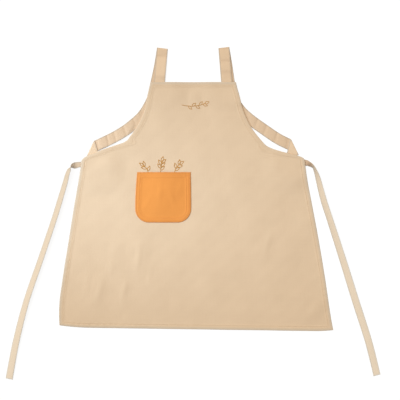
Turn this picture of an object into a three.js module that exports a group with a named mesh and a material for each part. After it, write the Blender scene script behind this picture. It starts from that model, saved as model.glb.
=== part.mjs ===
// A kitchen apron laid out flat on its back: a bib and skirt cut as one panel with turned hems,
// a patch pocket, two shoulder straps that fold over at the top and run down behind the bib to
// the waist corners, and two waist ties.
// Millimetres. +Z is up from the surface it lies on, +Y runs from the hem to the bib, and the
// origin is under the middle of the laid-out apron. Left and right are as seen from the front.

import * as THREE from 'three';
import { LoftGeometry } from 'three/addons/geometries/LoftGeometry.js';

// Cloth walls, and the clearance between layers that lie on each other.
const CLOTH = 1.2;
const GAP = 0.3;

// Edges turned twice to the back: the finished hem, and the run-out from it to the single cloth.
const HEM = { width: 14, thick: 2.2, runOut: 2 };

// Straps and ties are folded strips, so their walls are thicker than the panel's.
const STRAP = { width: 33, thick: 1.6, spans: 2, foldRadius: 1.0, shearRun: 70 };
const TIE = { width: 22, thick: 1.6, spans: 4 };

// Heights of the middle of a strip: next to the surface, and one folded layer above it.
const LOW = STRAP.thick / 2;
const HIGH = LOW + 2 * STRAP.foldRadius;

// Outline of the panel from the hem to the top of the bib: the height of each section, its left
// and right edge, and the number of grid rows up to the next one.
const PANEL_SECTIONS = [
  { y: -348, left: -400, right: 421, rows: 1 }, // bottom edge
  { y: -332, left: -401, right: 418, rows: 1 }, // bottom hem's stitching
  { y: -328, left: -401, right: 417, rows: 3 },
  { y: -260, left: -399, right: 406, rows: 3 },
  { y: -200, left: -391, right: 397, rows: 5 },
  { y: -80, left: -372, right: 377, rows: 5 },
  { y: 40, left: -353, right: 356, rows: 3 },
  { y: 112, left: -340, right: 343, rows: 2 },
  { y: 145, left: -335, right: 339, rows: 1 },
  { y: 159, left: -333, right: 337, rows: 1 }, // waist corners
  { y: 167, left: -325, right: 329, rows: 2 },
  { y: 179, left: -297, right: 291, rows: 2 },
  { y: 190, left: -268, right: 251, rows: 1 },
  { y: 201, left: -237, right: 224, rows: 1 },
  { y: 213, left: -204, right: 211, rows: 1 }, // foot of the armholes
  { y: 231, left: -187, right: 195, rows: 1 },
  { y: 250, left: -174, right: 180, rows: 2 },
  { y: 300, left: -148, right: 154, rows: 3 },
  { y: 358, left: -135, right: 138, rows: 1 },
  { y: 375, left: -131, right: 133, rows: 1 },
  { y: 379, left: -130, right: 132, rows: 1 }, // bib hem's stitching
  { y: 393, left: -127, right: 129, rows: 0 }, // top of the bib
];
const PANEL_COLUMNS = 32;
const PANEL_STEEPEST = 4; // longest slant of a side hem across the rows, in hem widths

// As it lies, the bottom edge slopes down to the right and its left corner is drawn up; both fade
// out above the hem.
const BOTTOM_EDGE = { slope: -0.0145, cornerRise: 6, cornerFrom: -300, cornerTo: -400, fade: 130 };

// Soft folds of the panel: middle, heading from +X, half length, half width and height.
const FOLDS = [
  { x: -142, y: -138, heading: 80, length: 95, width: 34, height: 2.8 },
  { x: -226, y: -96, heading: 84, length: 70, width: 30, height: 2.0 },
  { x: -284, y: -232, heading: 72, length: 80, width: 34, height: 2.6 },
  { x: -206, y: -236, heading: 86, length: 62, width: 28, height: 2.2 },
  { x: -46, y: -282, heading: 88, length: 60, width: 30, height: 1.8 },
  { x: 218, y: -96, heading: 66, length: 84, width: 34, height: 2.2 },
  { x: 372, y: -286, heading: 58, length: 62, width: 30, height: 2.6 },
  { x: 338, y: -28, heading: -40, length: 60, width: 28, height: 2.2 },
  { x: -262, y: 142, heading: 34, length: 90, width: 30, height: 2.6 },
  { x: 262, y: 136, heading: 146, length: 80, width: 30, height: 2.4 },
  { x: 6, y: 338, heading: 92, length: 46, width: 24, height: 1.6 },
];

// How the panel drapes over the strips behind it: level ground past a strip's edge, then a slope.
const DRAPE = { level: 19, slope: 30 };

// Patch pocket: a wide U with a hemmed mouth, standing a little open.
const POCKET = {
  x: -87, mouth: 123, height: 151, mouthWidth: 161, width: 166, radius: 39,
  edge: 6, edgeThick: 2.0, mouthHem: 15, bulge: 7.5, fullAt: 0.7, columns: 16,
};

// Shoulder straps, as centre lines seen from the front: the run up from behind the bib, the run
// down its back from the shoulder fold to the waist fold, and the tail behind the waist corner.
// Where the back run curves, a stretch of it puckers along its outward edge.
const STRAPS = [
  {
    side: 'left',
    front: [[-100, 371], [-91.5, 493]],
    back: [[-91.5, 493], [-100, 441], [-111, 390], [-121, 345], [-147, 299], [-180, 267],
      [-216, 241], [-260, 217], [-305, 194]],
    tail: [-288, 136],
    outward: -1,
    puckers: { from: 222, to: 352, pitch: 26, height: 2.6 },
  },
  {
    side: 'right',
    front: [[99, 371], [93, 495]],
    back: [[93, 495], [104, 442], [113, 397], [123, 352], [140, 315], [167, 284],
      [212, 254], [257, 223], [303, 198]],
    tail: [289, 136],
    outward: 1,
    puckers: { from: 236, to: 350, pitch: 38, height: 1.6 },
  },
];

// Waist ties: each row is a point of the centre line, the roll of the strip there and how far it
// bows across its width, as half the arc in degrees, positive with the hollow on its first face. A
// tie leaves the corner flat and stands on its edge in the bend. The left one goes on to turn over,
// the right one falls back on the same face, and both lean on their left edges before they lie flat.
const TIES = [
  {
    side: 'left',
    route: [
      { x: -315, y: 144, roll: 0, bow: 0 }, { x: -338, y: 144, roll: 0, bow: 0 },
      { x: -350.5, y: 143.2, roll: 4, bow: 4 }, { x: -358.5, y: 141, roll: 40, bow: 12 },
      { x: -364.5, y: 137.5, roll: 90, bow: 4 }, { x: -370.5, y: 129, roll: 126, bow: 4 },
      { x: -376.5, y: 113, roll: 132, bow: 6 }, { x: -381, y: 95, roll: 138, bow: 6 },
      { x: -398, y: 38, roll: 144, bow: 6 }, { x: -416.5, y: -22, roll: 145, bow: 6 },
      { x: -457, y: -142, roll: 147, bow: 6 }, { x: -498, y: -262, roll: 151, bow: 6 },
      { x: -529, y: -382, roll: 162, bow: 4 }, { x: -551, y: -497, roll: 174, bow: 0 },
    ],
  },
  {
    side: 'right',
    route: [
      { x: 315, y: 150, roll: 0, bow: 0 }, { x: 341, y: 150, roll: 0, bow: 0 },
      { x: 347, y: 148.4, roll: -44, bow: 0 }, { x: 352.5, y: 145.5, roll: -52, bow: 0 },
      { x: 358, y: 141, roll: -64, bow: 0 }, { x: 363.5, y: 134.5, roll: -70, bow: 0 },
      { x: 372, y: 113, roll: -47, bow: -4 }, { x: 377, y: 95, roll: -42, bow: -6 },
      { x: 392, y: 38, roll: -34, bow: -8 }, { x: 411.5, y: -22, roll: -35, bow: -8 },
      { x: 450, y: -142, roll: -24, bow: -8 }, { x: 487.5, y: -262, roll: -12, bow: -8 },
      { x: 526, y: -382, roll: 0, bow: -6 }, { x: 552, y: -486, roll: 0, bow: 0 },
    ],
  },
];
const TIE_BEND_ENDS = 7; // row of the routes where the bend is over

const FINISHES = {
  cotton: new THREE.MeshStandardMaterial({ color: 0xe4c9ab, roughness: 0.92, metalness: 0 }),
  pocketCotton: new THREE.MeshStandardMaterial({ color: 0xf0a054, roughness: 0.9, metalness: 0 }),
};

const FLAT_BOW = 0.01; // a strip bowed less than this, in radians, counts as flat

const clamp01 = (value) => THREE.MathUtils.clamp(value, 0, 1);
const plane = ([x, y]) => new THREE.Vector2(x, y);

// count values from start, evenly spaced, stopping short of end.
const spread = (start, end, count) =>
  Array.from({ length: count }, (_, i) => start + ((end - start) * i) / count);

function mesh(name, geometry, material) {
  const made = new THREE.Mesh(geometry, material);
  made.name = name;
  return made;
}

// A closed wall lofted through sections of points { x, y, z, thick }: each section runs along
// its upper face and back along its lower one.
function clothWall(sections) {
  const rings = sections.map((points) => [
    ...points.map((p) => new THREE.Vector3(p.x, p.y, p.z + p.thick)),
    ...points.map((p) => new THREE.Vector3(p.x, p.y, p.z)).reverse(),
  ]);
  return new LoftGeometry(rings, { capStart: true, capEnd: true });
}

// A strip of cloth: a section of the given spans carried over the surface pointAt(along, across),
// with half of its thickness on either side.
function strip(pointAt, stations, { width, thick, spans }) {
  const probe = 0.05;
  const places = [...spread(-width / 2, width / 2, spans), width / 2];
  const rings = stations.map((along) => {
    const faces = places.map((across) => {
      const ahead = pointAt(along + probe, across).sub(pointAt(along - probe, across));
      const sideways = pointAt(along, across + probe).sub(pointAt(along, across - probe));
      const offset = sideways.cross(ahead).setLength(thick / 2);
      const middle = pointAt(along, across);
      return { upper: middle.clone().add(offset), lower: middle.clone().sub(offset) };
    });
    return [...faces.map((f) => f.upper), ...faces.map((f) => f.lower).reverse()];
  });
  return new LoftGeometry(rings, { capStart: true, capEnd: true });
}

// Distance in plan from a point to the segment from a to b.
function distanceToSegment(x, y, a, b) {
  const along = b.clone().sub(a);
  const offset = new THREE.Vector2(x, y).sub(a);
  const share = clamp01(offset.dot(along) / along.lengthSq());
  return offset.addScaledVector(along, -share).length();
}

// What lies behind the panel: segments in plan, with the half width and the height they need.
function layersBehindPanel() {
  const overLow = LOW + STRAP.thick / 2 + GAP;
  const overHigh = HIGH + STRAP.thick / 2 + GAP;
  const layers = [];
  for (const { front, back, tail } of STRAPS) {
    const points = back.map(plane);
    const half = STRAP.width / 2;
    points.slice(1).forEach((b, i) => layers.push({ a: points[i], b, half, height: overLow }));
    layers.push({ a: plane(front[0]), b: plane(front[1]), half, height: overHigh });
    layers.push({ a: points.at(-1), b: plane(tail), half, height: overHigh });
  }
  for (const { route } of TIES) {
    const [a, b] = route.map(({ x, y }) => new THREE.Vector2(x, y));
    layers.push({ a, b, half: TIE.width / 2, height: overHigh });
  }
  return layers;
}
const LAYERS = layersBehindPanel();

// Height of the panel's back: draped over the layers behind it, plus its own soft folds.
function panelBack(x, y) {
  const drape = LAYERS.map(({ a, b, half, height }) => {
    const past = distanceToSegment(x, y, a, b) - half - DRAPE.level;
    return height * (1 - THREE.MathUtils.smoothstep(past, 0, DRAPE.slope));
  });
  const folds = FOLDS.map(({ x: cx, y: cy, heading, length, width, height }) => {
    const turn = THREE.MathUtils.degToRad(heading);
    const along = ((x - cx) * Math.cos(turn) + (y - cy) * Math.sin(turn)) / length;
    const aside = ((y - cy) * Math.cos(turn) - (x - cx) * Math.sin(turn)) / width;
    return height * Math.max(0, 1 - along * along) ** 2 * Math.max(0, 1 - aside * aside) ** 2;
  });
  return Math.max(...drape) + folds.reduce((sum, fold) => sum + fold, 0);
}

// Panel: rows from edge to edge, with the hem's two edges as columns of their own on each side.
function panelGeometry() {
  const edges = {
    left: new THREE.SplineCurve(PANEL_SECTIONS.map((s) => new THREE.Vector2(s.left, s.y))),
    right: new THREE.SplineCurve(PANEL_SECTIONS.map((s) => new THREE.Vector2(s.right, s.y))),
  };
  const last = PANEL_SECTIONS.length - 1;
  const rows = [...PANEL_SECTIONS.flatMap(({ rows: count }, i) => spread(i, i + 1, count)), last];

  // Where a side hem's inner edge crosses the row, as a length from the outline.
  const hemInset = (edge, at) => {
    const slope = edge.getTangent(at);
    return HEM.width * Math.min(PANEL_STEEPEST, 1 / Math.abs(slope.y));
  };
  const bottomRise = (x, y) => {
    const { slope, cornerRise, cornerFrom, cornerTo, fade } = BOTTOM_EDGE;
    const corner = clamp01((x - cornerFrom) / (cornerTo - cornerFrom)) ** 2;
    return (slope * x + cornerRise * corner) * clamp01(1 - (y - PANEL_SECTIONS[0].y) / fade);
  };
  return clothWall(rows.map((row) => {
    const at = row / last;
    const hem = row <= 1 || row >= last - 1;
    const left = edges.left.getPoint(at);
    const right = edges.right.getPoint(at);
    const innerLeft = left.x + hemInset(edges.left, at);
    const innerRight = right.x - hemInset(edges.right, at);
    const field = spread(innerLeft + HEM.runOut, innerRight - HEM.runOut, PANEL_COLUMNS);
    const columns = [
      { x: left.x, thick: HEM.thick },
      { x: (left.x + innerLeft) / 2, thick: HEM.thick },
      { x: innerLeft, thick: HEM.thick },
      ...field.map((x) => ({ x, thick: hem ? HEM.thick : CLOTH })),
      { x: innerRight - HEM.runOut, thick: hem ? HEM.thick : CLOTH },
      { x: innerRight, thick: HEM.thick },
      { x: (right.x + innerRight) / 2, thick: HEM.thick },
      { x: right.x, thick: HEM.thick },
    ];
    return columns.map(({ x, thick }) => {
      const y = left.y + bottomRise(x, left.y);
      return { x, y, z: panelBack(x, y), thick };
    });
  }));
}

// Pocket: rows from its rounded foot to the mouth; sewn down at its sides and foot, and standing
// off the panel in between.
function pocketGeometry() {
  const { radius, height, mouthHem, edge } = POCKET;
  const arcRows = spread(0, Math.PI / 2, 6).map((angle) => ({
    up: radius * (1 - Math.cos(angle)), inset: radius * (1 - Math.sin(angle)),
  }));
  const straightRows = [...spread(radius, height - mouthHem - HEM.runOut, 6),
    height - mouthHem - HEM.runOut, height - mouthHem, height].map((up) => ({ up, inset: 0 }));
  return clothWall([...arcRows, ...straightRows].map(({ up, inset }) => {
    const taper = clamp01((up - radius) / (height - radius));
    const half = THREE.MathUtils.lerp(POCKET.width, POCKET.mouthWidth, taper) / 2 - inset;
    const inner = half - edge;
    const columns = [-half, -inner, ...spread(HEM.runOut - inner, inner - HEM.runOut, POCKET.columns),
      inner - HEM.runOut, inner, half];
    const fullness = THREE.MathUtils.smoothstep(up / height, 0, POCKET.fullAt);
    return columns.map((x) => {
      const inEdge = Math.abs(x) > inner - 1e-6 || up < edge;
      const inHem = up > height - mouthHem - 1e-6;
      return {
        x: POCKET.x + x,
        y: POCKET.mouth - height + up,
        z: CLOTH + GAP + POCKET.bulge * fullness * (1 - (x / half) ** 2),
        thick: inEdge || inHem ? POCKET.edgeThick : CLOTH,
      };
    });
  }));
}

// A strap run in plan: its point and heading at a distance along it.
function straightRun(from, heading) {
  return (along) => ({ point: from.clone().addScaledVector(heading, along), heading });
}
function curvedRun(curve) {
  const length = curve.getLength();
  return (along) => {
    const share = clamp01(along / length);
    const heading = curve.getTangentAt(share);
    return { point: curve.getPointAt(share).addScaledVector(heading, along - share * length), heading };
  };
}

// The across direction of a strip in plan; it mirrors when the strip is turned over.
const aside = ({ x, y }, turnedOver) => new THREE.Vector2(y, -x).multiplyScalar(turnedOver ? -1 : 1);

// A crease between two runs: the line that mirrors one heading into the other.
function creaseBetween(point, before, after, turnedOver) {
  const line = before.clone().add(after).normalize();
  const normal = new THREE.Vector2(line.y, -line.x);
  if (normal.dot(before) < 0) normal.negate();
  const advance = normal.dot(before);
  return {
    point, normal,
    shear: -normal.dot(aside(before, turnedOver)) / advance,
    wrap: (Math.PI * STRAP.foldRadius) / advance,
  };
}

// Shoulder strap: one strip along three runs, turned over at the shoulder and again at the waist,
// with each turn rolled round its crease.
function strapGeometry({ front, back, tail, outward, puckers }) {
  const [base, shoulder] = front.map(plane);
  const waist = plane(back.at(-1));
  const backCurve = new THREE.SplineCurve(back.map(plane));
  const frontLength = base.distanceTo(shoulder);
  const backLength = backCurve.getLength();
  const tailLength = waist.distanceTo(plane(tail));
  const frontHeading = shoulder.clone().sub(base).normalize();
  const tailHeading = plane(tail).sub(waist).normalize();
  const runs = [straightRun(base, frontHeading), curvedRun(backCurve), straightRun(waist, tailHeading)];
  const overShoulder = creaseBetween(shoulder, frontHeading, backCurve.getTangentAt(0), false);
  const atWaist = creaseBetween(waist, backCurve.getTangentAt(1), tailHeading, true);
  const backStart = frontLength + overShoulder.wrap;
  const backEnd = backStart + backLength;
  const tailStart = backEnd + atWaist.wrap;
  const creases = [{ at: frontLength, ...overShoulder }, { at: backEnd, ...atWaist }];
  const starts = [0, backStart, tailStart];
  const heights = [HIGH, LOW, HIGH];

  const flatPoint = (run, along, across) => {
    const { point, heading } = runs[run](along - starts[run]);
    return point.addScaledVector(aside(heading, run === 1), across);
  };
  // Rows lean into the creases, so that each crease is a row of its own.
  const shearAt = (along) => creases.reduce((sum, { at, wrap, shear }) => {
    const past = Math.max(0, Math.abs(along - at - wrap / 2) - wrap);
    return sum + shear * clamp01(1 - past / STRAP.shearRun);
  }, 0);
  const puckerAt = (along, across) => {
    const { from, to, pitch, height } = puckers;
    const past = along - backStart - from;
    if (past < 0 || past > to - from) return 0;
    const open = clamp01((2 * outward * across) / STRAP.width);
    return height * open * Math.sin((Math.PI * past) / pitch) ** 2;
  };
  const pointAt = (row, across) => {
    const along = row + across * shearAt(row);
    const turn = row < backStart + backLength / 2 ? 0 : 1;
    const { point, normal } = creases[turn];
    const before = flatPoint(turn, along, across);
    const past = before.clone().sub(point).dot(normal);
    const rolled = clamp01(past / (Math.PI * STRAP.foldRadius)) * Math.PI;
    const rise = (heights[turn + 1] - heights[turn]) * (1 - Math.cos(rolled)) / 2;
    if (rolled === Math.PI) before.copy(flatPoint(turn + 1, along, across));
    else if (rolled > 0) before.addScaledVector(normal, STRAP.foldRadius * Math.sin(rolled) - past);
    return new THREE.Vector3(before.x, before.y, heights[turn] + rise + puckerAt(along, across));
  };
  const end = tailStart + tailLength;
  const stations = [
    ...spread(0, frontLength, 7), ...spread(frontLength, backStart, 4),
    ...spread(backStart, backEnd, 76), ...spread(backEnd, tailStart, 4),
    ...spread(tailStart, end, 4), end,
  ];
  return strip(pointAt, stations, STRAP);
}

// Waist tie: a strip along its route, rolled about its centre line and bowed across it, with its
// lower edge on the surface once it has come out from behind the panel.
function tieGeometry({ route }) {
  const last = route.length - 1;
  const radians = THREE.MathUtils.degToRad;
  const path = new THREE.SplineCurve(route.map(({ x, y }) => new THREE.Vector2(x, y)));
  const between = (column, index) => {
    const i = Math.min(Math.floor(index), last - 1);
    return radians(THREE.MathUtils.lerp(route[i][column], route[i + 1][column], index - i));
  };
  const pointAt = (station, across) => {
    const index = THREE.MathUtils.clamp(station, 0, last);
    const { x, y } = path.getPoint(index / last);
    const level = path.getTangent(index / last);
    const roll = between('roll', index);
    const bowed = between('bow', index);
    const bow = Math.abs(bowed) < FLAT_BOW ? FLAT_BOW : bowed;
    const arc = TIE.width / 2 / bow;
    const aside = arc * Math.sin(across / arc);
    const hump = arc * (Math.cos(across / arc) - Math.cos(bow));
    const reach = Math.abs(arc * Math.sin(bow) * Math.sin(roll));
    const lowEdgeTilt = roll - bow * Math.sign(Math.sin(roll));
    const rest = reach + (TIE.thick / 2) * Math.abs(Math.cos(lowEdgeTilt));
    const tucked = (HIGH - LOW) * (1 - THREE.MathUtils.smoothstep(index, 1, 2));
    const outward = aside * Math.cos(roll) + hump * Math.sin(roll);
    const up = aside * Math.sin(roll) - hump * Math.cos(roll);
    return new THREE.Vector3(x + level.y * outward, y - level.x * outward, tucked + rest + up);
  };
  const stations = [
    ...spread(0, 1, 2), ...spread(1, TIE_BEND_ENDS, 26), ...spread(TIE_BEND_ENDS, last, 14), last,
  ];
  return strip(pointAt, stations, TIE);
}

const apron = new THREE.Group();
apron.name = 'kitchen_apron';
apron.add(mesh('panel', panelGeometry(), FINISHES.cotton));
apron.add(mesh('pocket', pocketGeometry(), FINISHES.pocketCotton));
for (const strap of STRAPS) {
  apron.add(mesh(`shoulder_strap_${strap.side}`, strapGeometry(strap), FINISHES.cotton));
}
for (const tie of TIES) {
  apron.add(mesh(`waist_tie_${tie.side}`, tieGeometry(tie), FINISHES.cotton));
}

export default apron;
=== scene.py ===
"""A cotton bib apron laid out flat on its back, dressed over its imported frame.

Metres, in the frame's axes: +Z is up from the surface, +Y runs from the hem to the bib, and left
and right are as seen from the front. Each piece is a surface worked out as whole arrays: walls of
cloth with turned hems, strips folded and rolled along their runs, and sewn stitches.
"""
import math

import bpy
import numpy as np
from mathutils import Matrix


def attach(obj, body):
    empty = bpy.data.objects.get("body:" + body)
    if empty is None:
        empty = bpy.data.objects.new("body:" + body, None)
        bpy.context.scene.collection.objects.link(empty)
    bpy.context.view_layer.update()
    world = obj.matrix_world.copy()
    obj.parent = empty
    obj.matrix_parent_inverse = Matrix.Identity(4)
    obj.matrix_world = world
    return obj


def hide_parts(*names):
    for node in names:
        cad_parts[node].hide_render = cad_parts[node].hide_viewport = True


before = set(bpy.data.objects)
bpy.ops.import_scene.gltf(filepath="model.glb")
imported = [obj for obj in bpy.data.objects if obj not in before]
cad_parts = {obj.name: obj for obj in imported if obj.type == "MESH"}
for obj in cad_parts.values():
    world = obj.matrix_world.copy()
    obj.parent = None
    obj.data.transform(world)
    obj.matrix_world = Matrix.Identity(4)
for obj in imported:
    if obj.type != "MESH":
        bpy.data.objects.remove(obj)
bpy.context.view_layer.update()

# Cloth walls, and the clearance between layers that lie on each other.
CLOTH = 0.0012
GAP = 0.0003

# Hem of the panel: the turned edge, its stitching line, the run-out to the single cloth, how far the
# turned layers hold the single cloth off the surface, and how far in the folded edge rolls down.
HEM = dict(width=0.014, thick=0.0022, line=0.012, run_out=0.002, lift=0.0004, roll=0.0024)
HEM_STEPS = np.array([0, .3, .8, 1.6, 4.5, 8.5, 10.8, 11.5, 12, 12.5, 13.3, 14.2, 15.2, 16.5, 20]) / 1000
STEEPEST = 4  # most that the steps in from a slanting edge are stretched along the rows
PANEL_STEP = 0.0050
PANEL_COLUMNS = 215
PANEL_SEAM_POINTS = dict(side=600, end=400)

# A stitching line draws the cloth down: depth and half width of the groove, the half width on straps
# and ties, and the share of a line's inset at which it stops short of the hem that crosses it.
GROOVE = dict(depth=0.0004, half=0.0011, strip_half=0.00077, crossing=0.9)
# Where a tie is sewn on behind a waist corner, the side hem's groove is deeper: height on the panel,
# half length and how many times deeper.
TACK = dict(y=0.147, half=0.013, deeper=2.0)

# Outline of the panel from the hem to the top of the bib: height, left edge and right edge.
PANEL_OUTLINE = np.array([
    (-0.348, -0.400, 0.421),
    (-0.328, -0.401, 0.417),
    (-0.260, -0.399, 0.406),
    (-0.200, -0.391, 0.397),
    (-0.080, -0.372, 0.377),
    (0.040, -0.353, 0.3545),
    (0.112, -0.340, 0.341),
    (0.145, -0.335, 0.3365),
    (0.159, -0.333, 0.3345),
    (0.167, -0.325, 0.329),
    (0.179, -0.299, 0.288),
    (0.190, -0.272, 0.248),
    (0.201, -0.240, 0.2225),
    (0.213, -0.2055, 0.210),
    (0.231, -0.188, 0.1945),
    (0.250, -0.174, 0.180),
    (0.300, -0.148, 0.154),
    (0.358, -0.135, 0.138),
    (0.375, -0.131, 0.133),
    (0.393, -0.127, 0.129),
])
PANEL_FOOT, PANEL_TOP = PANEL_OUTLINE[0, 0], PANEL_OUTLINE[-1, 0]

# As it lies, the bottom edge slopes down to the right and its corners are drawn up, each given by
# where it starts, where it ends and its rise; all this fades out above the hem.
BOTTOM_EDGE = dict(slope=-0.0145, corners=[(-0.300, -0.400, 0.006), (0.366, 0.420, 0.0036)], fade=0.130)

# Soft folds of the panel, then its narrow creases: middle x and y, heading in degrees, half length,
# half width, height.
FOLDS = [
    (-0.156, -0.138, 80, 0.095, 0.034, 0.0010),
    (-0.226, -0.096, 84, 0.070, 0.030, 0.0010),
    (-0.284, -0.232, 72, 0.080, 0.034, 0.0012),
    (-0.206, -0.236, 86, 0.062, 0.028, 0.0010),
    (-0.046, -0.282, 88, 0.060, 0.030, 0.0008),
    (0.218, -0.096, 66, 0.084, 0.034, 0.0012),
    (0.372, -0.286, 58, 0.062, 0.030, 0.0018),
    (0.338, -0.028, -40, 0.060, 0.028, 0.0012),
    (-0.262, 0.142, 34, 0.090, 0.030, 0.0013),
    (0.262, 0.136, 146, 0.080, 0.030, 0.0012),
    (0.006, 0.338, 92, 0.046, 0.024, 0.0016),
    (-0.163, -0.132, 84, 0.058, 0.013, 0.0010),
    (-0.128, -0.182, 82, 0.044, 0.013, 0.0006),
    (-0.206, -0.232, 80, 0.050, 0.013, 0.0009),
    (-0.279, -0.230, 74, 0.052, 0.014, 0.0009),
    (-0.244, -0.160, 86, 0.048, 0.013, 0.0005),
    (-0.318, -0.216, 82, 0.050, 0.014, 0.0007),
    (0.223, -0.094, 74, 0.060, 0.013, 0.0007),
]
# Creases of the pocket, in the same terms.
POCKET_FOLDS = [
    (-0.099, 0.058, 86, 0.052, 0.012, 0.0006),
    (-0.062, 0.044, -70, 0.050, 0.012, 0.0006),
    (-0.136, 0.034, 64, 0.042, 0.012, 0.0004),
    (-0.038, 0.082, 82, 0.036, 0.011, 0.0004),
]

# How the panel drapes over the strips behind it: level ground past a strip's edge, then a slope.
DRAPE = dict(level=0.019, slope=0.060)

# Slack of the washed cloth: low waves, as wavelength and height, and the seed of their headings.
SLACK_WAVES = [(0.190, 0.00040), (0.130, 0.00036), (0.085, 0.00025), (0.058, 0.00016), (0.036, 0.00009)]
SLACK_SEED = 3

# Puckers of the side hems: side, height on the panel, half length and pucker height.
PUCKER = dict(pitch=0.021, reach=0.012)
SIDE_PUCKERS = [
    (-1, -0.168, 0.045, 0.0011),
    (-1, -0.290, 0.050, 0.0005),
    (-1, 0.020, 0.060, 0.0003),
    (1, -0.120, 0.030, 0.0008),
    (1, -0.246, 0.034, 0.0009),
    (1, -0.306, 0.026, 0.0007),
    (1, 0.030, 0.060, 0.0003),
]
# Dimples that the stitching draws into the bottom hem: middle x, half length and depth. They swing
# by some radians off an even pitch, over a longer wavelength.
DIMPLE = dict(pitch=0.019, reach=0.0038, swing=1.5, uneven=0.083)
HEM_DIMPLES = [
    (-0.330, 0.065, 0.0011),
    (-0.190, 0.080, 0.0010),
    (-0.020, 0.080, 0.0006),
    (0.300, 0.070, 0.0006),
]

# Patch pocket: a wide U with a hemmed mouth, standing a little open, whose middle leans to the right
# on the way up. Its edges roll down, and the sewn one is pressed on to the panel from a little under
# the mouth.
POCKET = dict(
    x=-0.0891, lean=0.0022, mouth=0.123, height=0.151, mouth_width=0.1605, width=0.1676, radius=0.041,
    edge=0.015, edge_thick=0.0018, lines=(0.0045, 0.0130), mouth_hem=0.015, mouth_line=0.0095,
    bulge=0.0050, flat_edge=0.012, full_at=0.7, run_out=0.002, roll=0.0032, pressed_from=0.008,
)
POCKET_STEPS = np.array(
    [0, .3, .8, 1.6, 3.2, 3.9, 4.5, 5.1, 5.8, 9, 11.7, 12.4, 13, 13.6, 14.3, 15.5, 17]) / 1000
POCKET_STEP = 0.0024
POCKET_COLUMNS = 56
POCKET_EDGE_SHARE = 0.9  # most of a row's half width that the steps at its edge take up
POCKET_SEAM_POINTS = dict(side=80, corner=40, mouth=120)

# Strips of folded cloth: straps and ties, each kind with its nodes, how it is held, the edges that
# are sewn and where the stitching runs. Rows are closer together at the ends and round the creases.
STRAP = dict(
    name="strap", node="shoulder_strap", held="folded", sewn=(-1, 1),
    width=0.033, thick=0.0016, line=0.0028, fold_radius=0.0010, shear_run=0.070,
)
TIE = dict(name="tie", node="waist_tie", held="laid", sewn=(1,), width=0.022, thick=0.0016, line=0.0024)
STRIP_STEPS = np.array([0, .25, .7, 1.3, 2.0, 2.6, 3.2, 4.0]) / 1000
END_STEPS = STRIP_STEPS[:4]
STRIP_STEP = 0.0025
CREASE_STEP = STRIP_STEP / 10
# Heights of a strap's middle: its lower layer on the surface and its upper layer over a fold.
LOW = STRAP["thick"] / 2
HIGH = LOW + 2 * STRAP["fold_radius"]
RUN = dict(points=400, lead=0.2)  # a strap run's dense line, and the straight leads past its ends
TIE_POINTS = 4000
FLAT_BOW = 0.01  # a strip bowed less than this, in radians, counts as flat

# Shoulder straps as centre lines seen from the front: the run up from behind the bib, the run down
# its back from the shoulder fold to the waist fold, and the tail behind the waist corner. The cloth
# puffs up between the creases of the front run and between the gathers of the back run, both given
# by their distances along the run; fullness is a puff's height on the back run as a share of its
# length. At places by the creases of the front run, painted crease shade darkens the strap as deep as
# the turned tint: distance along the run, half length and share.
STRAPS = dict(
    left=dict(
        front=[(-0.1018, 0.371), (-0.0915, 0.493)],
        back=[(-0.0915, 0.493), (-0.100, 0.441), (-0.111, 0.390), (-0.121, 0.345), (-0.147, 0.2975),
              (-0.180, 0.2650), (-0.216, 0.2392), (-0.260, 0.2158), (-0.305, 0.1955)],
        tail=(-0.288, 0.136),
        outward=-1,
        creases=(0.025, 0.102, 0.122),
        crease_shade=[(0.0365, 0.0060, 0.8), (0.1005, 0.0045, 0.8), (0.1150, 0.0120, 0.5)],
        fullness=0.075,
        gathers=(0.205, 0.228, 0.243, 0.281, 0.316, 0.340, 0.372),
    ),
    right=dict(
        front=[(0.1030, 0.371), (0.0930, 0.495)],
        back=[(0.0930, 0.495), (0.1020, 0.442), (0.1085, 0.397), (0.116, 0.352), (0.138, 0.3140),
              (0.167, 0.2848), (0.212, 0.2520), (0.257, 0.2220), (0.303, 0.2000)],
        tail=(0.289, 0.136),
        outward=1,
        creases=(0.022, 0.041, 0.051, 0.087, 0.122),
        crease_shade=[(0.0370, 0.0065, 0.6), (0.0515, 0.0065, 1.0), (0.0865, 0.0045, 1.0),
                 (0.1240, 0.0030, 1.0)],
        fullness=0.042,
        gathers=(0.222, 0.259, 0.292, 0.331, 0.369),
    ),
)
# Height of a front puff as a share of its length, and its share at the strap's outer and inner edge;
# how far creases lean across the strap; and for the back run the share of a puff's height at the
# strap's inner edge, and where the puffs begin and are whole past the panel that covers them.
PUFF = dict(
    front=0.040, front_outer=0.25, front_inner=1.15, lean=0.25,
    inner=0.75, covered=0.003, clear=0.016,
)

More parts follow.
